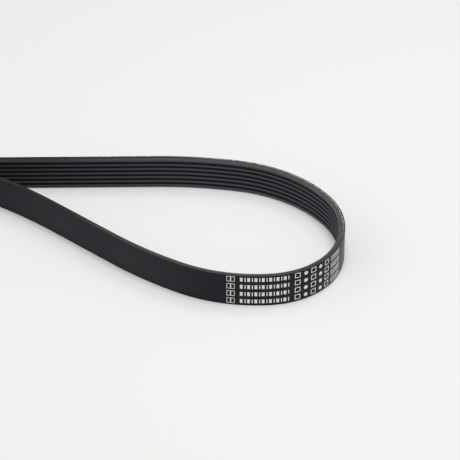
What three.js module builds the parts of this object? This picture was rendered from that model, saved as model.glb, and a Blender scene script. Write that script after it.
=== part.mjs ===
// Serpentine belt: one endless rubber band with seven ribs on the inside of its loop and a smooth back.
// It stands on its lower cut edge. Millimetres, +Z up, origin under the middle of the belt's box.
//
// The path is the line of the tension cords, which is the belt's length. It runs anticlockwise, seen from
// above: out of a narrow waist along the front strand, round the small loop, back along the back strand,
// through the waist again and round the large loop.
import * as THREE from "three";

// Section
const RIB_COUNT = 7;
const RIB_PITCH = 3.56;
const RIB_TIP_WIDTH = 1.25;
const GROOVE_ROOT_WIDTH = 0.64;
const GROOVE_ANGLE = 40;
const RIB_EDGE_RADIUS = 0.3;
const BACKING_THICKNESS = 2.2;
const CORD_DEPTH = 1.3; // under the smooth back

// Path
const CORD_LENGTH = 1970;
const FRONT_EASE_RADIUS = 285;
const FRONT_EASE_TURN = 12;
const FRONT_BEND_RADIUS = 105;
const FRONT_BEND_TURN = 35;
const NOSE_BEND_RADIUS = 57;
const NOSE_BEND_TURN = 62;
const END_BEND_RADIUS = 71;
const END_BEND_TURN = 54;
const BACK_BEND_RADIUS = 100;
const BACK_BEND_TURN = 47;
const BACK_EASE_RADIUS = 270;
const BACK_EASE_TURN = 13;
const SLACK_BEND_RADIUS = 375;
const SLACK_BEND_TURN = 8;
const WAIST_BEND_RADIUS = 70;
const WAIST_GAP = 8; // between the rib tips of the two strands
const WAIST_RUN = 20;
const FLARE_RADIUS = 90;
const FLARE_TURN = 38;

// Largest step along a bend
const SMALL_LOOP_STEP = 5;
const LARGE_LOOP_STEP = 8;

const SMALL_LOOP = [
  { radius: FRONT_EASE_RADIUS, turn: FRONT_EASE_TURN },
  { radius: FRONT_BEND_RADIUS, turn: FRONT_BEND_TURN },
  { radius: NOSE_BEND_RADIUS, turn: NOSE_BEND_TURN },
  { radius: END_BEND_RADIUS, turn: END_BEND_TURN },
  { radius: BACK_BEND_RADIUS, turn: BACK_BEND_TURN },
  { radius: BACK_EASE_RADIUS, turn: BACK_EASE_TURN },
];
const HALF_TURN = 180;

const radians = THREE.MathUtils.degToRad;
const sine = (degrees) => Math.sin(radians(degrees));
const cosine = (degrees) => Math.cos(radians(degrees));
const arcLength = (radius, turn) => radius * radians(turn);

// In the section, x is the distance outwards from the cord line and y is the height across the belt.
const flankSlope = Math.tan(radians(GROOVE_ANGLE / 2));
const ribHeight =
  (RIB_PITCH - RIB_TIP_WIDTH - GROOVE_ROOT_WIDTH) / (2 * flankSlope);
const rootDepth = CORD_DEPTH - BACKING_THICKNESS;
const tipDepth = rootDepth - ribHeight;
const beltWidth = RIB_COUNT * RIB_PITCH;

// One rib that starts at the height given: groove root, flank, tip with its two edges taken off, flank.
// Each rounded edge is one flat as wide as its arc's chord.
function ribOutline(start) {
  const middle = start + RIB_PITCH / 2;
  const tip = RIB_TIP_WIDTH / 2;
  const setback = RIB_EDGE_RADIUS * Math.tan(radians(45 - GROOVE_ANGLE / 4));
  const alongFlank = new THREE.Vector2(
    setback * cosine(GROOVE_ANGLE / 2),
    setback * sine(GROOVE_ANGLE / 2),
  );
  const halfRib = [
    new THREE.Vector2(rootDepth, RIB_PITCH / 2 - GROOVE_ROOT_WIDTH / 2),
    new THREE.Vector2(tipDepth + alongFlank.x, tip + alongFlank.y),
    new THREE.Vector2(tipDepth, tip - setback),
  ];
  const lower = halfRib.map((p) => new THREE.Vector2(p.x, middle - p.y));
  const upper = halfRib.map((p) => new THREE.Vector2(p.x, middle + p.y));
  return [...lower, ...upper.reverse()];
}

// The whole section, with its cut edges in the middle of a groove.
function beltSection() {
  const points = [
    new THREE.Vector2(CORD_DEPTH, 0),
    new THREE.Vector2(rootDepth, 0),
  ];
  for (let rib = 0; rib < RIB_COUNT; rib++)
    points.push(...ribOutline(rib * RIB_PITCH));
  points.push(
    new THREE.Vector2(rootDepth, beltWidth),
    new THREE.Vector2(CORD_DEPTH, beltWidth),
  );
  return points;
}

// The runs of the path, in order: bends turn left where turn is positive, and a straight has a length.
// What the waist, the straights and the large loop measure follows from the values above.
function beltRuns() {
  const smallTurn = SMALL_LOOP.reduce((sum, bend) => sum + bend.turn, 0);
  const waistTurn = smallTurn - HALF_TURN - SLACK_BEND_TURN;
  const strandDistance = WAIST_GAP - 2 * tipDepth;
  const wayIn = [
    { radius: WAIST_BEND_RADIUS, turn: -waistTurn },
    { radius: SLACK_BEND_RADIUS, turn: -SLACK_BEND_TURN },
  ];

  // The front straight brings the back strand to its distance, the back straight brings it to the waist.
  const frontHeading = -waistTurn - SLACK_BEND_TURN;
  const bends = endOf([...wayIn, ...SMALL_LOOP]);
  const front = (strandDistance - bends.y) / sine(frontHeading);
  const back = bends.x + front * cosine(frontHeading);

  // The large loop takes up the rest of the cord length. Its straights are tangent to both bends.
  const flareClimb = FLARE_RADIUS * (1 - cosine(FLARE_TURN));
  const largeTurn = HALF_TURN + 2 * FLARE_TURN;
  const rest =
    CORD_LENGTH -
    [...wayIn, ...SMALL_LOOP].reduce(
      (sum, bend) => sum + arcLength(bend.radius, Math.abs(bend.turn)),
      front + back + 2 * WAIST_RUN + 2 * arcLength(FLARE_RADIUS, FLARE_TURN),
    );
  const largeRadius =
    (rest + (strandDistance + 2 * flareClimb) / sine(FLARE_TURN)) /
    (radians(largeTurn) + (2 * cosine(FLARE_TURN)) / sine(FLARE_TURN));
  const largeStraight =
    (largeRadius * cosine(FLARE_TURN) - strandDistance / 2 - flareClimb) /
    sine(FLARE_TURN);

  return [
    ...wayIn,
    { length: front },
    ...SMALL_LOOP,
    { length: back },
    { length: WAIST_RUN },
    { radius: FLARE_RADIUS, turn: -FLARE_TURN },
    { length: largeStraight },
    { radius: largeRadius, turn: largeTurn, step: LARGE_LOOP_STEP },
    { length: largeStraight },
    { radius: FLARE_RADIUS, turn: -FLARE_TURN },
    { length: WAIST_RUN },
  ];
}

// The place after a run, or after the share of it given.
function advance(place, run, share = 1) {
  if (run.length !== undefined)
    return {
      x: place.x + share * run.length * cosine(place.heading),
      y: place.y + share * run.length * sine(place.heading),
      heading: place.heading,
    };
  const side = Math.sign(run.turn) * run.radius;
  const heading = place.heading + share * run.turn;
  return {
    x: place.x + side * (sine(heading) - sine(place.heading)),
    y: place.y - side * (cosine(heading) - cosine(place.heading)),
    heading,
  };
}

function endOf(runs) {
  return runs.reduce((place, run) => advance(place, run), {
    x: 0,
    y: 0,
    heading: 0,
  });
}

// The places where the section stands: the start of each run, and equal steps along each bend.
function stations(runs) {
  const places = [];
  let start = { x: 0, y: 0, heading: 0 };
  for (const run of runs) {
    const step = run.step ?? SMALL_LOOP_STEP;
    const steps = run.turn ? Math.ceil(Math.abs(run.turn) / step) : 1;
    for (let i = 0; i < steps; i++) places.push(advance(start, run, i / steps));
    start = advance(start, run);
  }
  return places;
}

// Sweeps a section round a closed row of places. Its faces look outwards.
function endlessSweep(section, places) {
  const positions = [];
  for (const { x, y, heading } of places)
    for (const point of section)
      positions.push(
        x + point.x * sine(heading),
        y - point.x * cosine(heading),
        point.y,
      );
  const corner = (place, point) =>
    (place % places.length) * section.length + (point % section.length);
  const faces = [];
  for (let i = 0; i < places.length; i++)
    for (let j = 0; j < section.length; j++) {
      const here = corner(i, j);
      const beside = corner(i, j + 1);
      const ahead = corner(i + 1, j);
      const across = corner(i + 1, j + 1);
      faces.push(here, beside, across, here, across, ahead);
    }
  const geometry = new THREE.BufferGeometry();
  geometry.setAttribute(
    "position",
    new THREE.Float32BufferAttribute(positions, 3),
  );
  geometry.setIndex(faces);
  return geometry;
}

const beltGeometry = endlessSweep(beltSection(), stations(beltRuns()));
beltGeometry.computeBoundingBox();
const middle = beltGeometry.boundingBox.getCenter(new THREE.Vector3());
beltGeometry.translate(-middle.x, -middle.y, 0);
beltGeometry.computeVertexNormals();

const rubber = new THREE.MeshStandardMaterial({
  color: 0x2a2b2e,
  roughness: 0.6,
  metalness: 0,
});

const belt = new THREE.Mesh(beltGeometry, rubber);
belt.name = "belt";

const serpentineBelt = new THREE.Group();
serpentineBelt.add(belt);

export default serpentineBelt;
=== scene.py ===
"""Dresses a packed serpentine belt: its ribbed rubber, the marks on its back and a studio table.

Lengths are in metres and angles in radians, unless a name, a helper or a comment says otherwise.

A piece is modelled flat first: x runs along the belt, y outwards from its tension cords and z
across its width. Then it is laid on the belt's path.
"""
import cmath
import math

import bmesh
import bpy
from bpy.props import FloatProperty, FloatVectorProperty, IntProperty, PointerProperty
from mathutils import Matrix, Vector


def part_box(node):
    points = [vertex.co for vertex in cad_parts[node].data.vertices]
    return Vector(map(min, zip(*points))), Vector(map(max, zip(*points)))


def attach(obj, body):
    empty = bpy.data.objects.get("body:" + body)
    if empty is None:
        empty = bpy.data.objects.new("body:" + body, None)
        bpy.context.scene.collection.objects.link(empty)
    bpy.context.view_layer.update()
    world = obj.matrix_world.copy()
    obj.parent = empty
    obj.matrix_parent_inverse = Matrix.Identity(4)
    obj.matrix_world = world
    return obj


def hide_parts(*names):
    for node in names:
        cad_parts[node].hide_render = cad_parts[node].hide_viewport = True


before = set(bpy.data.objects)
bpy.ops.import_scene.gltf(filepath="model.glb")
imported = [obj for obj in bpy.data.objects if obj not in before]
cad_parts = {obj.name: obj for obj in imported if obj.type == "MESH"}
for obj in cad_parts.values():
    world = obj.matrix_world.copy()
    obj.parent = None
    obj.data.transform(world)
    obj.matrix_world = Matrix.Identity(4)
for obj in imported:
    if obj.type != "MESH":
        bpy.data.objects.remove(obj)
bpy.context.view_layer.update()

bl_info = {
    "name": "Serpentine belt",
    "version": (1, 0, 0),
    "blender": (4, 5, 0),
    "location": "View3D > Sidebar > Belt",
    "description": "Makes a ribbed drive belt, the marks on its back and a studio stage",
    "category": "Add Mesh",
}

BAND_NAME = "ribbed_band"
MARKS_NAME = "back_marks"
RUN_MAP = "belt_run"  # UV map: u along the belt, v round its section, both in metres
DEPTH_MAP = "belt_depth"  # UV map: u under the smooth back, v up from the lower cut edge, in metres
BACK, RIBS, CUT_EDGE = range(3)  # the band's materials, in order
MM_PER_METRE = 1000


def mm(length):
    """A length given in millimetres, in metres."""
    return length / MM_PER_METRE


def srgb(hex_colour):
    """A six-digit sRGB colour as linear red, green and blue."""
    shares = [int(hex_colour[i:i + 2], 16) / 255 for i in (1, 3, 5)]
    return [s / 12.92 if s <= 0.04045 else ((s + 0.055) / 1.055) ** 2.4 for s in shares]


# Lengths too small to show, for comparisons, for welding and for cuts
HAIR = mm(0.01)
WELD_DISTANCE = mm(0.002)
CUT_DISTANCE = mm(0.001)


class BeltSection(bpy.types.PropertyGroup):
    """What the belt's profile measures."""

    rib_count: IntProperty(name="Ribs", description="Ribs side by side", default=7, min=1)
    rib_pitch: FloatProperty(
        name="Rib pitch", description="From rib to rib", default=mm(3.56), unit="LENGTH")
    tip_width: FloatProperty(
        name="Rib tip", description="Width between a tip's sharp corners", default=mm(1.25),
        unit="LENGTH")
    root_width: FloatProperty(
        name="Groove root", description="Width between a groove's sharp corners",
        default=mm(0.64), unit="LENGTH")
    groove_angle: FloatProperty(
        name="Groove angle", description="Between the two flanks of a groove",
        default=math.radians(40), subtype="ANGLE")
    tip_radius: FloatProperty(
        name="Tip rounding", description="Radius of a rib's ground corners", default=mm(0.3),
        unit="LENGTH")
    root_radius: FloatProperty(
        name="Root rounding", description="Radius in a groove's corners", default=mm(0.2),
        unit="LENGTH")
    back_radius: FloatProperty(
        name="Back rounding", description="Radius between the back and a cut edge",
        default=mm(0.2), unit="LENGTH")
    backing: FloatProperty(
        name="Backing", description="From the back to the groove roots", default=mm(2.2),
        unit="LENGTH")
    cord_depth: FloatProperty(
        name="Cord depth", description="From the back to the tension cords", default=mm(1.3),
        unit="LENGTH")


class BeltPath(bpy.types.PropertyGroup):
    """How the belt is bent. Its straights and its large loop follow from these values."""

    cord_length: FloatProperty(
        name="Length", description="Round the belt, on its cords", default=mm(1970),
        unit="LENGTH")
    loop_radii: FloatVectorProperty(
        name="Small loop radii", description="Bends of the small loop, from the front strand on",
        size=6, default=[mm(r) for r in (285, 105, 57, 71, 100, 270)], unit="LENGTH")
    loop_turns: FloatVectorProperty(
        name="Small loop turns", description="How far each of those bends turns",
        size=6, default=[math.radians(t) for t in (12, 35, 62, 54, 47, 13)], unit="ROTATION")
    slack_radius: FloatProperty(
        name="Slack bend", description="Radius of the front strand's slack", default=mm(375),
        unit="LENGTH")
    slack_turn: FloatProperty(
        name="Slack turn", description="How far the slack bends back",
        default=math.radians(8), subtype="ANGLE")
    waist_radius: FloatProperty(
        name="Waist bend", description="Radius of the front strand's way out of the waist",
        default=mm(70), unit="LENGTH")
    waist_gap: FloatProperty(
        name="Waist gap", description="Between the rib tips of the two strands",
        default=mm(8), unit="LENGTH")
    waist_run: FloatProperty(
        name="Waist run", description="Straight stretch between the waist and the large loop",
        default=mm(20), unit="LENGTH")
    flare_radius: FloatProperty(
        name="Flare", description="Radius of the bends into the large loop", default=mm(90),
        unit="LENGTH")
    flare_turn: FloatProperty(
        name="Flare turn", description="How far each of them turns",
        default=math.radians(38), subtype="ANGLE")
    bend_step: FloatProperty(
        name="Bend step", description="Largest turn between two sections",
        default=math.radians(1.5), subtype="ANGLE")


class BackMarks(bpy.types.PropertyGroup):
    """Where the inked marks lie on the back."""

    start: FloatProperty(
        name="Start", description="Distance of the first mark along the cords",
        default=mm(250.8), unit="LENGTH")
    rows: IntProperty(name="Rows", description="Rows of marks across the back", default=4)
    lowest_row: FloatProperty(
        name="Lowest row", description="Height of its middle line", default=mm(3.6),
        unit="LENGTH")
    row_pitch: FloatProperty(
        name="Row pitch", description="From row to row", default=mm(6.05), unit="LENGTH")
    ink: FloatProperty(
        name="Ink", description="How thick the ink is", default=mm(0.05),
        unit="LENGTH")
    bend_step: FloatProperty(
        name="Bend step", description="How far a mark runs straight before it bends",
        default=mm(1.5), unit="LENGTH")


class BeltColours(bpy.types.PropertyGroup):
    """The colours of the belt and its table."""

    back: FloatVectorProperty(
        name="Back", description="Smooth moulded rubber", subtype="COLOR",
        default=srgb("#12151E"))
    ribs: FloatVectorProperty(
        name="Ribs", description="Ground rubber", subtype="COLOR", default=srgb("#37393F"))
    cut_edge: FloatVectorProperty(
        name="Cut edge", description="Sliced rubber with fibres in it", subtype="COLOR",
        default=srgb("#575756"))
    cord: FloatVectorProperty(
        name="Cord", description="Polyester cord where the cut opens it", subtype="COLOR",
        default=srgb("#ACAAA7"))
    ink: FloatVectorProperty(
        name="Ink", description="White marking ink", subtype="COLOR", default=srgb("#F4F5F6"))
    table: FloatVectorProperty(
        name="Table", description="Pale paper under the belt", subtype="COLOR",
        default=srgb("#F2F2F0"))


class BeltStage(bpy.types.PropertyGroup):
    """The places of the camera and of two square softboxes, and how bright the light is."""

    aim: FloatVectorProperty(
        name="Aim", description="Point on the table in the middle of the view",
        subtype="TRANSLATION", default=(mm(307.3), mm(-53.6), 0))
    azimuth: FloatProperty(
        name="Azimuth", description="Round the belt, zero looking along +Y",
        default=math.radians(-0.85), subtype="ANGLE")
    elevation: FloatProperty(
        name="Elevation", description="Above the table", default=math.radians(34.3),
        subtype="ANGLE")
    distance: FloatProperty(
        name="Distance", description="From the camera to the aim", default=1.6, unit="LENGTH")
    focal_length: FloatProperty(
        name="Focal length", description="In millimetres, on a 36 mm sensor", default=172.2)
    softbox_place: FloatVectorProperty(
        name="Softbox", description="Middle of the softbox above the belt",
        subtype="TRANSLATION", default=(0.5, -0.28, 1.96))
    softbox_side: FloatProperty(
        name="Softbox side", description="Width of the softbox", default=0.9, unit="LENGTH")
    softbox_power: FloatProperty(name="Softbox power", description="In watts", default=23.7)
    back_softbox_place: FloatVectorProperty(
        name="Back softbox", description="Middle of the softbox behind the belt, to its right",
        subtype="TRANSLATION", default=(0.8, 0.56, 1.62))
    back_softbox_side: FloatProperty(
        name="Back softbox side", description="Width of the softbox behind", default=0.73,
        unit="LENGTH")
    back_softbox_power: FloatProperty(
        name="Back softbox power", description="In watts", default=4.1)
    fill: FloatProperty(
        name="Fill", description="Brightness of the white room around the table", default=0.23)
    left_wall: FloatProperty(
        name="Left wall", description="How much more light the room's left wall gives",
        default=3)
    right_wall: FloatProperty(
        name="Right wall", description="How much more light the room's right wall gives",
        default=1)


class Path:
    """The closed line of the belt's cords, seen from above as complex numbers."""

    def __init__(self, section, path):
        self.runs = belt_runs(section, path)
        self.starts = [(0, 0j, 0)]
        for length, curvature in self.runs:
            distance, point, heading = self.starts[-1]
            self.starts.append((
                distance + length,
                advance(point, heading, length, curvature),
                heading + length * curvature,
            ))
        self.length = self.starts[-1][0]

    def place(self, distance):
        """The point at a distance along the path, and its heading."""
        index = 0
        while index < len(self.runs) - 1 and self.starts[index + 1][0] <= distance:
            index += 1
        start, point, heading = self.starts[index]
        curvature = self.runs[index][1]
        gone = distance - start
        return advance(point, heading, gone, curvature), heading + gone * curvature


def advance(point, heading, distance, curvature):
    """Where an arc or a straight leads to."""
    if not curvature:
        return point + cmath.rect(distance, heading)
    turned = cmath.rect(1, heading + distance * curvature) - cmath.rect(1, heading)
    return point + turned / (1j * curvature)


def bend(radius, turn):
    """A run of the path: its length, and its curvature, which is positive to the left."""
    return radius * abs(turn), math.copysign(1 / radius, turn)


def straight(length):
    """A run without curvature."""
    return length, 0


def end_of(runs):
    """The point that runs from the origin lead to."""
    point, heading = 0j, 0
    for length, curvature in runs:
        point = advance(point, heading, length, curvature)
        heading += length * curvature
    return point


def tip_depth(section):
    """How far the rib tips lie outwards of the cords: a negative distance."""
    flanks = section.rib_pitch - section.tip_width - section.root_width
    rib_height = flanks / (2 * math.tan(section.groove_angle / 2))
    return section.cord_depth - section.backing - rib_height


def belt_runs(section, path):
    """The path's runs in order, anticlockwise from the waist.

    The front straight brings the back strand to its distance from the waist's start, and the back
    straight ends beside that start. The large loop takes up the rest of the belt's length.
    """
    loop = [bend(r, t) for r, t in zip(path.loop_radii, path.loop_turns)]
    front_turn = sum(path.loop_turns) - math.pi
    way_in = [
        bend(path.waist_radius, path.slack_turn - front_turn),
        bend(path.slack_radius, -path.slack_turn),
    ]
    apart = path.waist_gap - 2 * tip_depth(section)
    bends_end = end_of(way_in + loop)
    front = (bends_end.imag - apart) / math.sin(front_turn)
    back = bends_end.real + front * math.cos(front_turn)

    flare = bend(path.flare_radius, -path.flare_turn)
    climb = path.flare_radius * (1 - math.cos(path.flare_turn))
    used = sum(length for length, _ in way_in + loop) + front + back
    rest = path.cord_length - used - 2 * (path.waist_run + flare[0])
    large_turn = math.pi + 2 * path.flare_turn
    sine, cosine = math.sin(path.flare_turn), math.cos(path.flare_turn)
    large_radius = (rest + (apart + 2 * climb) / sine) / (large_turn + 2 * cosine / sine)
    large_side = straight((large_radius * cosine - apart / 2 - climb) / sine)
    waist = straight(path.waist_run)
    return [
        *way_in, straight(front), *loop, straight(back), waist,
        flare, large_side, bend(large_radius, large_turn), large_side, flare, waist,
    ]


OUTLINE_POINTS = 720  # round the path, by which its middle is found


def lay_on_path(bm, path):
    """Bends a flat mesh round the path, and moves it to where the frame's belt stands."""
    low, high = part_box("belt")
    outline = [path.place(path.length * i / OUTLINE_POINTS)[0] for i in range(OUTLINE_POINTS)]
    middle = complex(
        (min(p.real for p in outline) + max(p.real for p in outline)) / 2,
        (min(p.imag for p in outline) + max(p.imag for p in outline)) / 2,
    )
    shift = complex(*((low + high) / 2).xy) - middle
    for vertex in bm.verts:
        point, heading = path.place(vertex.co.x)
        outward = cmath.rect(1, heading - math.pi / 2)
        point += shift + outward * vertex.co.y
        vertex.co.x, vertex.co.y = point.real, point.imag


# How the band is made
TIP_SEGMENTS = 4
ROOT_SEGMENTS = 3
BACK_SEGMENTS = 3
ARC_PROFILE = 0.5  # a bevel's profile when it is an arc of a circle
STEP_ROUNDING = 1e-6  # in steps of a bend, so that a whole number of them stays whole
CREASE = math.radians(30)  # the angle from which an edge looks sharp


def section_outline(bm, section):
    """Draws the belt's section as one face with rounded rib tips, groove roots and back corners."""
    width = section.rib_count * section.rib_pitch
    root = section.cord_depth - section.backing
    tip = tip_depth(section)
    back = [bm.verts.new((0, section.cord_depth, z)) for z in (width, 0)]
    edge = [bm.verts.new((0, root, z)) for z in (0, width)]
    root_reach = (section.rib_pitch - section.root_width) / 2
    tip_reach = section.tip_width / 2
    ribs, roots, tips = [], [], []
    for rib in range(section.rib_count):
        middle = (rib + 0.5) * section.rib_pitch
        corners = [
            (root, middle - root_reach), (tip, middle - tip_reach),
            (tip, middle + tip_reach), (root, middle + root_reach),
        ]
        made = [bm.verts.new((0, y, z)) for y, z in corners]
        ribs += made
        roots += [made[0], made[3]]
        tips += made[1:3]
    face = bm.faces.new([*back, edge[0], *ribs, edge[1]])

    # How far a rounding takes the corner's sides back, as a share of its radius.
    flank_setback = math.tan((math.pi - section.groove_angle) / 4)
    square_setback = 1
    for corners, radius, setback, segments in (
        (tips, section.tip_radius, flank_setback, TIP_SEGMENTS),
        (roots, section.root_radius, flank_setback, ROOT_SEGMENTS),
        (back, section.back_radius, square_setback, BACK_SEGMENTS),
    ):
        bmesh.ops.bevel(
            bm, geom=corners, offset=radius * setback, offset_type="OFFSET", segments=segments,
            profile=ARC_PROFILE, affect="VERTICES", material=-1)
    return bm.faces[:][0]  # the bevels have made the face anew


def draw_out(bm, ring, runs, step):
    """Draws a section's ring of edges out along x, run by run, then parts each bend into steps."""
    rails = []
    for length, _ in runs:
        made = bmesh.ops.extrude_edge_only(bm, edges=ring)["geom"]
        ring = [part for part in made if isinstance(part, bmesh.types.BMEdge)]
        verts = [part for part in made if isinstance(part, bmesh.types.BMVert)]
        bmesh.ops.translate(bm, vec=(length, 0, 0), verts=verts)
        ends = set(ring)
        rails.append([edge for vert in verts for edge in vert.link_edges if edge not in ends])
    for edges, (length, curvature) in zip(rails, runs):
        cuts = math.ceil(abs(length * curvature) / step - STEP_ROUNDING) - 1
        if cuts > 0:
            bmesh.ops.subdivide_edges(bm, edges=edges, cuts=cuts, use_grid_fill=True)


def map_band(bm, section, girth):
    """Gives the flat band its materials and its two UV maps."""
    root = section.cord_depth - section.backing
    half_width = section.rib_count * section.rib_pitch / 2
    outer_tip = half_width - (section.rib_pitch - section.tip_width) / 2
    run_map = bm.loops.layers.uv.new(RUN_MAP)
    depth_map = bm.loops.layers.uv.new(DEPTH_MAP)
    whole_girth = max(vert[girth] for vert in bm.verts)
    for face in bm.faces:
        face.smooth = True
        middle = face.calc_center_median()
        if middle.y > section.cord_depth - HAIR:
            face.material_index = BACK
        elif middle.y > root + HAIR or abs(middle.z - half_width) > outer_tip:
            face.material_index = CUT_EDGE
        else:
            face.material_index = RIBS
        # A face across the girth's start reaches past its end.
        furthest = max(loop.vert[girth] for loop in face.loops)
        for loop in face.loops:
            around = loop.vert[girth]
            if furthest - around > whole_girth / 2:
                around += whole_girth
            loop[run_map].uv = (loop.vert.co.x, around)
            loop[depth_map].uv = (section.cord_depth - loop.vert.co.y, loop.vert.co.z)


def band_mesh(section, path, step):
    """The whole belt: its section drawn out to its length, bent, and closed on itself."""
    bm = bmesh.new()
    outline = section_outline(bm, section)
    girth = bm.verts.layers.float.new("girth")
    gone = 0
    for loop in outline.loops:
        loop.vert[girth] = gone
        gone += loop.edge.calc_length()
    ring = list(outline.edges)
    bmesh.ops.delete(bm, geom=[outline], context="FACES_ONLY")
    draw_out(bm, ring, path.runs, step)
    map_band(bm, section, girth)
    lengthwise = [e for e in bm.edges if abs(e.verts[0].co.x - e.verts[1].co.x) > HAIR]
    lay_on_path(bm, path)
    bmesh.ops.remove_doubles(bm, verts=bm.verts, dist=WELD_DISTANCE)
    bmesh.ops.recalc_face_normals(bm, faces=bm.faces)
    for edge in lengthwise:
        if edge.is_valid and edge.calc_face_angle(0) > CREASE:
            edge.smooth = False
    return bm


# One row of marks, in millimetres along the row and up from its middle line. A bar has a start, a
# length, a lower and an upper side. A frame has these, a number of windows and the width of its
# lines. A disc has its middle.
THICK_BARS = [(9.2 + 5 * i, 1.9, -1.6, 1.6) for i in range(7)]
THIN_BARS = [(12.4 + 5 * i, 0.7, -1.6, 1.6) for i in range(7)]
FINE_LINES = [(79.5, 13, low, low + 0.6) for low in (-1.9, -0.3, 1.3)]
BLOCK = [(0, 5.6, -2.2, 2.2, 2, 0.4)]
BOXES = [(start, 4.2, -2, 2.1, 1, 0.55) for start in (47.2, 60, 72.8)]
DISCS = [55.7, 68.5]
DISC_RADIUS = 1.5
DISC_SEGMENTS = 24
UPRIGHT = Matrix.Rotation(math.pi / 2, 4, "X")
INK_SINK = mm(0.01)  # how far the ink starts inside the rubber, so that no gap shows under it


def lay_bar(bm, start, length, low, high, parts=1):
    """One flat bar in the plane of the back, in one or more faces side by side."""
    size = Matrix.Diagonal((mm(length), mm(high - low), 1, 1))
    place = Matrix.Translation((mm(start + length / 2), 0, mm((low + high) / 2)))
    made = bmesh.ops.create_grid(
        bm, x_segments=parts, y_segments=1, size=1 / 2, matrix=place @ UPRIGHT @ size)["verts"]
    return [face for face in bm.faces if face.verts[0] in made]


def lay_frame(bm, start, length, low, high, windows, line):
    """A bar with windows side by side, each with a line round it."""
    panes = lay_bar(bm, start, length, low, high, windows)
    bmesh.ops.inset_individual(bm, faces=panes, thickness=mm(line), use_even_offset=True)
    bmesh.ops.delete(bm, geom=panes, context="FACES")


def lay_disc(bm, middle):
    """One flat disc on the row's middle line."""
    place = Matrix.Translation((mm(middle), 0, 0))
    bmesh.ops.create_circle(
        bm, cap_ends=True, segments=DISC_SEGMENTS, radius=mm(DISC_RADIUS), matrix=place @ UPRIGHT)


def lay_row(bm):
    """One row of marks, on the row's middle line."""
    for bar in THICK_BARS + THIN_BARS + FINE_LINES:
        lay_bar(bm, *bar)
    for frame_lines in BLOCK + BOXES:
        lay_frame(bm, *frame_lines)
    for middle in DISCS:
        lay_disc(bm, middle)


def marks_mesh(section, marks, path):
    """The inked marks, each a thin plate that follows the back."""
    bm = bmesh.new()
    lay_row(bm)
    row = bm.faces[:]
    for _ in range(marks.rows - 1):
        made = bmesh.ops.duplicate(bm, geom=row)["geom"]
        row = [part for part in made if isinstance(part, bmesh.types.BMFace)]
        verts = [part for part in made if isinstance(part, bmesh.types.BMVert)]
        bmesh.ops.translate(bm, vec=(0, 0, marks.row_pitch), verts=verts)
    skin = section.cord_depth - INK_SINK
    bmesh.ops.translate(bm, vec=(marks.start, skin, marks.lowest_row), verts=bm.verts)
    # Cuts across every mark let it bend with the back.
    ends = [vert.co.x for vert in bm.verts]
    for i in range(1, math.ceil((max(ends) - min(ends)) / marks.bend_step)):
        everything = bm.verts[:] + bm.edges[:] + bm.faces[:]
        bmesh.ops.bisect_plane(
            bm, geom=everything, dist=CUT_DISTANCE, plane_no=(1, 0, 0),
            plane_co=(min(ends) + i * marks.bend_step, 0, 0))
    bmesh.ops.solidify(bm, geom=bm.faces, thickness=marks.ink)
    run_map = bm.loops.layers.uv.new(RUN_MAP)
    for face in bm.faces:
        for loop in face.loops:
            loop[run_map].uv = (loop.vert.co.x, loop.vert.co.z)
    lay_on_path(bm, path)
    # Laying on the path mirrors a mesh, and plates this thin are too flat for a recalculation.
    bmesh.ops.reverse_faces(bm, faces=bm.faces)
    return bm


def add_node(tree, kind, inputs=None, output=0, **settings):
    """Adds a node, sets it up, fills or links its inputs, and gives back one of its outputs."""
    made = tree.nodes.new(kind)
    for name, value in settings.items():
        setattr(made, name, value)
    for name, value in (inputs or {}).items():
        if isinstance(value, bpy.types.NodeSocket):
            tree.links.new(value, made.inputs[name])
        else:
            made.inputs[name].default_value = value
    return made.outputs[output]


def new_material(name, **surface):
    """A material of one Principled BSDF, with the constant values of its surface set on it."""
    material = bpy.data.materials.new(name)
    material.use_nodes = True
    tree = material.node_tree
    shader = tree.nodes["Principled BSDF"]
    for socket, value in surface.items():
        shader.inputs[socket.replace("_", " ")].default_value = value
    return material, tree, shader


def belt_coordinates(tree, uv_map=RUN_MAP, stretch=(1, 1, 1)):
    """The belt's own coordinates in millimetres."""
    place = add_node(tree, "ShaderNodeUVMap", uv_map=uv_map)
    scale = [MM_PER_METRE * share for share in stretch]
    return add_node(tree, "ShaderNodeMapping", {"Vector": place, "Scale": scale})


def paint(colour, share=1):
    """A colour for a node's socket, brighter or darker by a share."""
    return (*[value * share for value in colour], 1)


def profile(tree, value, stops):
    """What a value becomes, straight from stop to stop: pairs of a value and what it becomes."""
    result = stops[0][1]
    for (start, low), (end, high) in zip(stops, stops[1:]):
        climb = add_node(tree, "ShaderNodeMapRange", {
            "Value": value, "From Min": start, "From Max": end, "To Max": high - low})
        result = add_node(tree, "ShaderNodeMath", {0: result, 1: climb}, operation="ADD")
    return result


# The sockets for colours of a node that mixes them
FIRST, SECOND, MIXED = 6, 7, 2

# Vulcanised synthetic rubber
RUBBER = {"IOR": 1.5, "Metallic": 0}

# Sizes of the patterns, in millimetres
CLOUD_SIZE = 18
GRAIN_SIZE = 0.9
GRINDING_SPACING = 0.3
GRINDING_LENGTH = 12
DUST_SIZE = 1.1
FLECK_WIDTH = 1
FLECK_SHAPE = 0.3  # its width as a share of its length
SPOT_LENGTH = 3
SPOT_REACH = 27  # across the edge, which is thinner, so that a spot goes all through it
INK_PATCH_SIZE = 0.8

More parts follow.
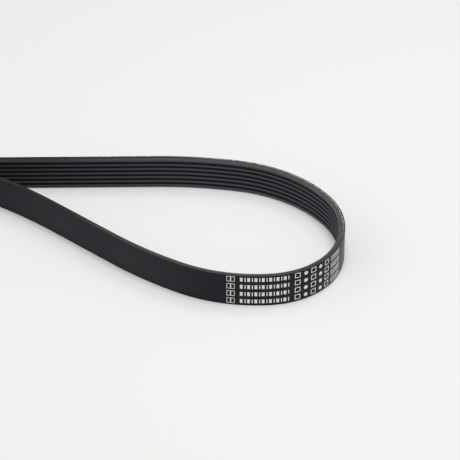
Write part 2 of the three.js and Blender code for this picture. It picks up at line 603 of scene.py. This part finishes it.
# Where the colour differs along the belt, by cords and scuffs and by painted sheen and painted
# shade:
# stops of millimetres along the cords, and the share there. The end of the small loop lies at 370.
# Painted sheen on the back before the nose
BACK_PAINTED_SHEEN = [(145, 0), (158, 0.15), (186, 0.5), (202, 0.42), (227, 0.1), (242, 0)]
# Painted shade on the ribs away from the small loop
RIB_PAINTED_SHADE = [(80, 0.55), (220, 0), (520, 0), (660, 0.55)]
# Painted shade on the cut edge away from the small loop
EDGE_PAINTED_SHADE = [
    (110, 0.9), (140, 0.35), (215, 0.03), (285, 0), (315, 0.25), (345, 0.25), (375, 0), (395, 0),
    (600, 0.69), (625, 0.9),
]
OPENED_CORD = [(345, 0), (375, 1), (510, 1), (540, 0)]
SCUFFED_RIM = [(445, 0), (485, 1), (605, 1), (645, 0)]

# Layers of the section: stops of millimetres under the back, and the share there
RIM = [(0.5, 1), (0.9, 0)]
CORD_LINE = [(0.8, 0), (1.05, 1), (1.55, 1), (1.8, 0)]
UNDER_CORD_BED = [(1.9, 0), (2.2, 1)]
CLEAR_OF_ROOTS = [(2.3, 0), (3, 1)]
RIB_TIPS = [(3.8, 0), (4.4, 1)]

# What the patterns become: stops of a noise's value, and the roughness or share there
SKIN_ROUGHNESS = [(0.3, 0.34), (0.7, 0.43)]
PALE_FLECKS = [(0.4, 0), (0.62, 1)]
OPEN_SPOTS = [(0.3, 0), (0.55, 1)]
SCUFFED_SPOTS = [(0.48, 0), (0.56, 1)]
FULL_INK = [(0.3, 0), (0.5, 1)]


def moulded_back(colours):
    """Rubber moulded against a smooth sleeve: a satin skin with faint clouds and a fine grain."""
    material, tree, shader = new_material("moulded_rubber_back", Specular_IOR_Level=0.19, **RUBBER)
    place = belt_coordinates(tree)
    # Clouds of about two centimetres, where the skin touched the sleeve more or less.
    clouds = add_node(tree, "ShaderNodeTexNoise", {
        "Vector": place, "Scale": 1 / CLOUD_SIZE, "Detail": 3, "Roughness": 0.5})
    # The skin's grain is about 0.2 mm: it is drawn at 0.9 mm, so that it shows at all.
    grain = add_node(tree, "ShaderNodeTexNoise", {
        "Vector": place, "Scale": 1 / GRAIN_SIZE, "Detail": 2, "Roughness": 0.6})
    clouded = add_node(tree, "ShaderNodeMix", {
        "Factor": clouds, FIRST: paint(colours.back, 0.8), SECOND: paint(colours.back, 1.25),
    }, MIXED, data_type="RGBA")
    # The skin is painted a little paler before the nose: a painted sheen.
    along = add_node(tree, "ShaderNodeSeparateXYZ", {"Vector": place})
    tint = add_node(tree, "ShaderNodeMix", {
        "Factor": profile(tree, along, BACK_PAINTED_SHEEN), FIRST: clouded,
        SECOND: paint(colours.ribs, 0.5),
    }, MIXED, data_type="RGBA")
    relief = add_node(tree, "ShaderNodeBump", {
        "Height": grain, "Strength": 0.15, "Distance": mm(0.05)})
    tree.links.new(tint, shader.inputs["Base Color"])
    tree.links.new(profile(tree, clouds, SKIN_ROUGHNESS), shader.inputs["Roughness"])
    tree.links.new(relief, shader.inputs["Normal"])
    return material


def ground_ribs(colours):
    """Rubber ground to shape by a profiled stone: lines along the belt, tips paler and roots
    painted paler, as painted light in the grooves.
    """
    material, tree, shader = new_material(
        "ground_rubber_ribs", Roughness=0.55, Specular_IOR_Level=0.25, **RUBBER)
    # The stone leaves lines 0.3 mm apart and about a centimetre long.
    lines = add_node(tree, "ShaderNodeTexNoise", {
        "Vector": belt_coordinates(tree, stretch=(GRINDING_SPACING / GRINDING_LENGTH, 1, 1)),
        "Scale": 1 / GRINDING_SPACING, "Detail": 2, "Roughness": 0.6})
    # Rubber dust and short fibres leave flecks of about a millimetre.
    dust = add_node(tree, "ShaderNodeTexNoise", {
        "Vector": belt_coordinates(tree), "Scale": 1 / DUST_SIZE, "Detail": 3, "Roughness": 0.6})
    depth = add_node(tree, "ShaderNodeSeparateXYZ", {"Vector": belt_coordinates(tree, DEPTH_MAP)})
    flecked = add_node(tree, "ShaderNodeMix", {
        "Factor": dust, FIRST: paint(colours.ribs, 0.7), SECOND: paint(colours.ribs, 1.1),
    }, MIXED, data_type="RGBA")
    # The groove roots are painted paler: painted light that lifts the shade deep in the grooves.
    roots_painted_paler = add_node(tree, "ShaderNodeMix", {
        "Factor": profile(tree, depth, CLEAR_OF_ROOTS), FIRST: paint(colours.ribs, 2.5),
        SECOND: flecked,
    }, MIXED, data_type="RGBA")
    ground = add_node(tree, "ShaderNodeMix", {
        "Factor": profile(tree, depth, RIB_TIPS), FIRST: roots_painted_paler,
        SECOND: paint(colours.ribs, 1.7),
    }, MIXED, data_type="RGBA")
    # Away from the small loop the ribs are painted darker, as painted shade.
    along = add_node(tree, "ShaderNodeSeparateXYZ", {"Vector": belt_coordinates(tree)})
    tint = add_node(tree, "ShaderNodeMix", {
        "Factor": profile(tree, along, RIB_PAINTED_SHADE), FIRST: ground,
        SECOND: paint(colours.ribs, 0.25),
    }, MIXED, data_type="RGBA")
    relief = add_node(tree, "ShaderNodeBump", {
        "Height": lines, "Strength": 0.3, "Distance": mm(0.05)})
    tree.links.new(tint, shader.inputs["Base Color"])
    tree.links.new(relief, shader.inputs["Normal"])
    return material


def sliced_edge(colours):
    """Rubber sliced by a knife: a dull face of pale flecks, darker where the cords are bedded."""
    material, tree, shader = new_material(
        "sliced_rubber_edge", Roughness=0.6, Specular_IOR_Level=0.25, **RUBBER)
    along = add_node(tree, "ShaderNodeSeparateXYZ", {"Vector": belt_coordinates(tree)})
    depth = add_node(tree, "ShaderNodeSeparateXYZ", {"Vector": belt_coordinates(tree, DEPTH_MAP)})
    # Fibre ends and knife marks of about 0.2 mm lie across the edge. They are drawn 1 mm wide and
    # 3 mm long, so that they show.
    flecks = add_node(tree, "ShaderNodeTexNoise", {
        "Vector": belt_coordinates(tree, stretch=(1, FLECK_SHAPE, 1)), "Scale": 1 / FLECK_WIDTH,
        "Detail": 3, "Roughness": 0.65})
    rubber = add_node(tree, "ShaderNodeMix", {
        "Factor": profile(tree, flecks, PALE_FLECKS), FIRST: paint(colours.cut_edge, 0.7),
        SECOND: paint(colours.cut_edge, 1.3),
    }, MIXED, data_type="RGBA")
    # Skin and cord bed are denser and darker than the ribs' rubber.
    bedded = add_node(tree, "ShaderNodeMix", {
        "Factor": profile(tree, depth, UNDER_CORD_BED), FIRST: paint(colours.cut_edge, 0.6),
        SECOND: rubber,
    }, MIXED, data_type="RGBA")
    # The cords wind round the belt like a thread, so the cut opens one for a stretch of its run,
    # except in spots where rubber still covers it.
    spots = add_node(tree, "ShaderNodeTexNoise", {
        "Vector": belt_coordinates(tree, stretch=(1, SPOT_LENGTH / SPOT_REACH, 1)),
        "Scale": 1 / SPOT_LENGTH, "Detail": 2, "Roughness": 0.5})
    opened = add_node(tree, "ShaderNodeMath", {
        0: profile(tree, along, OPENED_CORD), 1: profile(tree, spots, OPEN_SPOTS),
    }, operation="MULTIPLY")
    cord = add_node(tree, "ShaderNodeMath", {
        0: profile(tree, depth, CORD_LINE), 1: opened}, operation="MULTIPLY")
    corded = add_node(tree, "ShaderNodeMix", {
        "Factor": cord, FIRST: bedded, SECOND: paint(colours.cord)}, MIXED, data_type="RGBA")
    # Away from the small loop, and a little near its end, the cut edge is painted darker:
    #     painted shade.
    edge_with_painted_shade = add_node(tree, "ShaderNodeMix", {
        "Factor": profile(tree, along, EDGE_PAINTED_SHADE), FIRST: corded,
        SECOND: paint(colours.cut_edge, 0.15),
    }, MIXED, data_type="RGBA")
    # Along the back strand the rim is scuffed in spots, which are drawn 3 mm long.
    worn = add_node(tree, "ShaderNodeMath", {
        0: profile(tree, along, SCUFFED_RIM), 1: profile(tree, spots, SCUFFED_SPOTS),
    }, operation="MULTIPLY")
    scuffs = add_node(tree, "ShaderNodeMath", {
        0: profile(tree, depth, RIM), 1: worn}, operation="MULTIPLY")
    tint = add_node(tree, "ShaderNodeMix", {
        "Factor": scuffs, FIRST: edge_with_painted_shade, SECOND: paint(colours.cord)}, MIXED, data_type="RGBA")
    relief = add_node(tree, "ShaderNodeBump", {
        "Height": flecks, "Strength": 0.4, "Distance": mm(0.08)})
    tree.links.new(tint, shader.inputs["Base Color"])
    tree.links.new(relief, shader.inputs["Normal"])
    return material


def marking_ink(colours):
    """White marking ink rolled on rubber: matt, a little thin and grey in places."""
    material, tree, shader = new_material(
        "marking_ink", IOR=1.45, Metallic=0, Roughness=0.6, Specular_IOR_Level=0.3)
    cover = add_node(tree, "ShaderNodeTexNoise", {
        "Vector": belt_coordinates(tree), "Scale": 1 / INK_PATCH_SIZE, "Detail": 3,
        "Roughness": 0.6})
    tint = add_node(tree, "ShaderNodeMix", {
        "Factor": profile(tree, cover, FULL_INK), FIRST: paint(colours.ink, 0.8),
        SECOND: paint(colours.ink),
    }, MIXED, data_type="RGBA")
    tree.links.new(tint, shader.inputs["Base Color"])
    return material


def table_paper(colours):
    """Seamless background paper, calendered and uncoated: pale, even and quite matt."""
    material, _, _ = new_material(
        "table_paper", Base_Color=paint(colours.table), Metallic=0, Roughness=0.9,
        Specular_IOR_Level=0)
    return material


# The stage
TABLE_REACH = 6  # from its middle to each side
WALL_START = 0.3  # how far to the side a direction points where a wall of the room starts
SENSOR_WIDTH = 36  # in millimetres


def lay_table(scene):
    """One large sheet of paper at the height of the belt's lower cut edge."""
    bm = bmesh.new()
    bmesh.ops.create_grid(bm, x_segments=1, y_segments=1, size=TABLE_REACH)
    mesh = bpy.data.meshes.new("table")
    bm.to_mesh(mesh)
    bm.free()
    mesh.materials.append(table_paper(scene.belt_colours))
    table = bpy.data.objects.new("table", mesh)
    scene.collection.objects.link(table)


def add_softbox(scene, name, place, side, power):
    """A square softbox that faces the camera's aim."""
    softbox = bpy.data.lights.new(name, "AREA")
    softbox.size = side
    softbox.energy = power
    lamp = bpy.data.objects.new(name, softbox)
    lamp.location = place
    outward = Vector(place) - Vector(scene.belt_stage.aim)
    lamp.rotation_euler = outward.to_track_quat("Z", "Y").to_euler()
    scene.collection.objects.link(lamp)


def studio_light(scene):
    """A softbox above the belt and one behind it, in a dim white room."""
    stage = scene.belt_stage
    add_softbox(
        scene, "softbox", stage.softbox_place, stage.softbox_side, stage.softbox_power)
    add_softbox(
        scene, "back_softbox", stage.back_softbox_place, stage.back_softbox_side,
        stage.back_softbox_power)
    world = bpy.data.worlds.new("white_room")
    world.use_nodes = True
    scene.world = world
    tree = world.node_tree
    background = tree.nodes["Background"]
    background.inputs["Color"].default_value = (1, 1, 1, 1)
    direction = add_node(tree, "ShaderNodeTexCoord")
    sideways = add_node(tree, "ShaderNodeSeparateXYZ", {"Vector": direction})
    left = profile(tree, sideways, [(-WALL_START, 1), (-1, 1 + stage.left_wall)])
    right = profile(tree, sideways, [(WALL_START, 1), (1, 1 + stage.right_wall)])
    walls = add_node(tree, "ShaderNodeMath", {0: left, 1: right}, operation="MULTIPLY")
    strength = add_node(
        tree, "ShaderNodeMath", {0: walls, 1: stage.fill}, operation="MULTIPLY")
    tree.links.new(strength, background.inputs["Strength"])


def place_camera(scene):
    """A camera that looks at the aim from the stage's angles and distance."""
    stage = scene.belt_stage
    lens = bpy.data.cameras.new("camera")
    lens.sensor_width = SENSOR_WIDTH
    lens.lens = stage.focal_length
    camera = bpy.data.objects.new("camera", lens)
    scene.collection.objects.link(camera)
    level = math.cos(stage.elevation)
    back = Vector((
        math.sin(stage.azimuth) * level, -math.cos(stage.azimuth) * level,
        math.sin(stage.elevation)))
    camera.location = Vector(stage.aim) + back * stage.distance
    camera.rotation_euler = back.to_track_quat("Z", "Y").to_euler()
    scene.camera = camera


def finish_piece(name, bm, materials):
    """Makes a bmesh one piece of the belt, with its materials."""
    mesh = bpy.data.meshes.new(name)
    bm.to_mesh(mesh)
    bm.free()
    for material in materials:
        mesh.materials.append(material)
    piece = bpy.data.objects.new(name, mesh)
    bpy.context.scene.collection.objects.link(piece)
    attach(piece, "root")
    return piece


class SERPENTINE_OT_band(bpy.types.Operator):
    """Make the ribbed band in place of the frame's plain one"""

    bl_idname = "serpentine.band"
    bl_label = "Ribbed band"

    def execute(self, context):
        scene = context.scene
        path = Path(scene.belt_section, scene.belt_path)
        bm = band_mesh(scene.belt_section, path, scene.belt_path.bend_step)
        colours = scene.belt_colours
        materials = [moulded_back(colours), ground_ribs(colours), sliced_edge(colours)]
        band = finish_piece(BAND_NAME, bm, materials)
        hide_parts("belt")
        return {"FINISHED"}


class SERPENTINE_OT_back_marks(bpy.types.Operator):
    """Print rows of plain marks on the smooth back"""

    bl_idname = "serpentine.back_marks"
    bl_label = "Marks on the back"

    def execute(self, context):
        scene = context.scene
        path = Path(scene.belt_section, scene.belt_path)
        bm = marks_mesh(scene.belt_section, scene.back_marks, path)
        finish_piece(MARKS_NAME, bm, [marking_ink(scene.belt_colours)])
        return {"FINISHED"}


class SERPENTINE_OT_stage(bpy.types.Operator):
    """Set up the table, the soft light and the camera"""

    bl_idname = "serpentine.stage"
    bl_label = "Studio stage"

    def execute(self, context):
        scene = context.scene
        lay_table(scene)
        studio_light(scene)
        place_camera(scene)
        scene.view_settings.view_transform = "Standard"
        return {"FINISHED"}


class SERPENTINE_PT_belt(bpy.types.Panel):
    """Lists the steps that make the belt"""

    bl_label = "Serpentine belt"
    bl_idname = "SERPENTINE_PT_belt"
    bl_space_type = "VIEW_3D"
    bl_region_type = "UI"
    bl_category = "Belt"

    def draw(self, context):
        scene = context.scene
        for step in STEPS:
            self.layout.operator(step.bl_idname)
        for name, _ in SETTINGS:
            group = getattr(scene, name)
            box = self.layout.box()
            for prop in group.bl_rna.properties:
                if prop.identifier not in ("name", "rna_type"):
                    box.prop(group, prop.identifier)


STEPS = (SERPENTINE_OT_band, SERPENTINE_OT_back_marks, SERPENTINE_OT_stage)
SETTINGS = (
    ("belt_section", BeltSection),
    ("belt_path", BeltPath),
    ("back_marks", BackMarks),
    ("belt_colours", BeltColours),
    ("belt_stage", BeltStage),
)


def register():
    for name, group in SETTINGS:
        bpy.utils.register_class(group)
        setattr(bpy.types.Scene, name, PointerProperty(type=group))
    for cls in (*STEPS, SERPENTINE_PT_belt):
        bpy.utils.register_class(cls)


def unregister():
    for cls in (SERPENTINE_PT_belt, *reversed(STEPS)):
        bpy.utils.unregister_class(cls)
    for name, group in reversed(SETTINGS):
        delattr(bpy.types.Scene, name)
        bpy.utils.unregister_class(group)


def main():
    register()
    bpy.ops.serpentine.band()
    bpy.ops.serpentine.back_marks()
    bpy.ops.serpentine.stage()


if __name__ == "__main__":
    main()
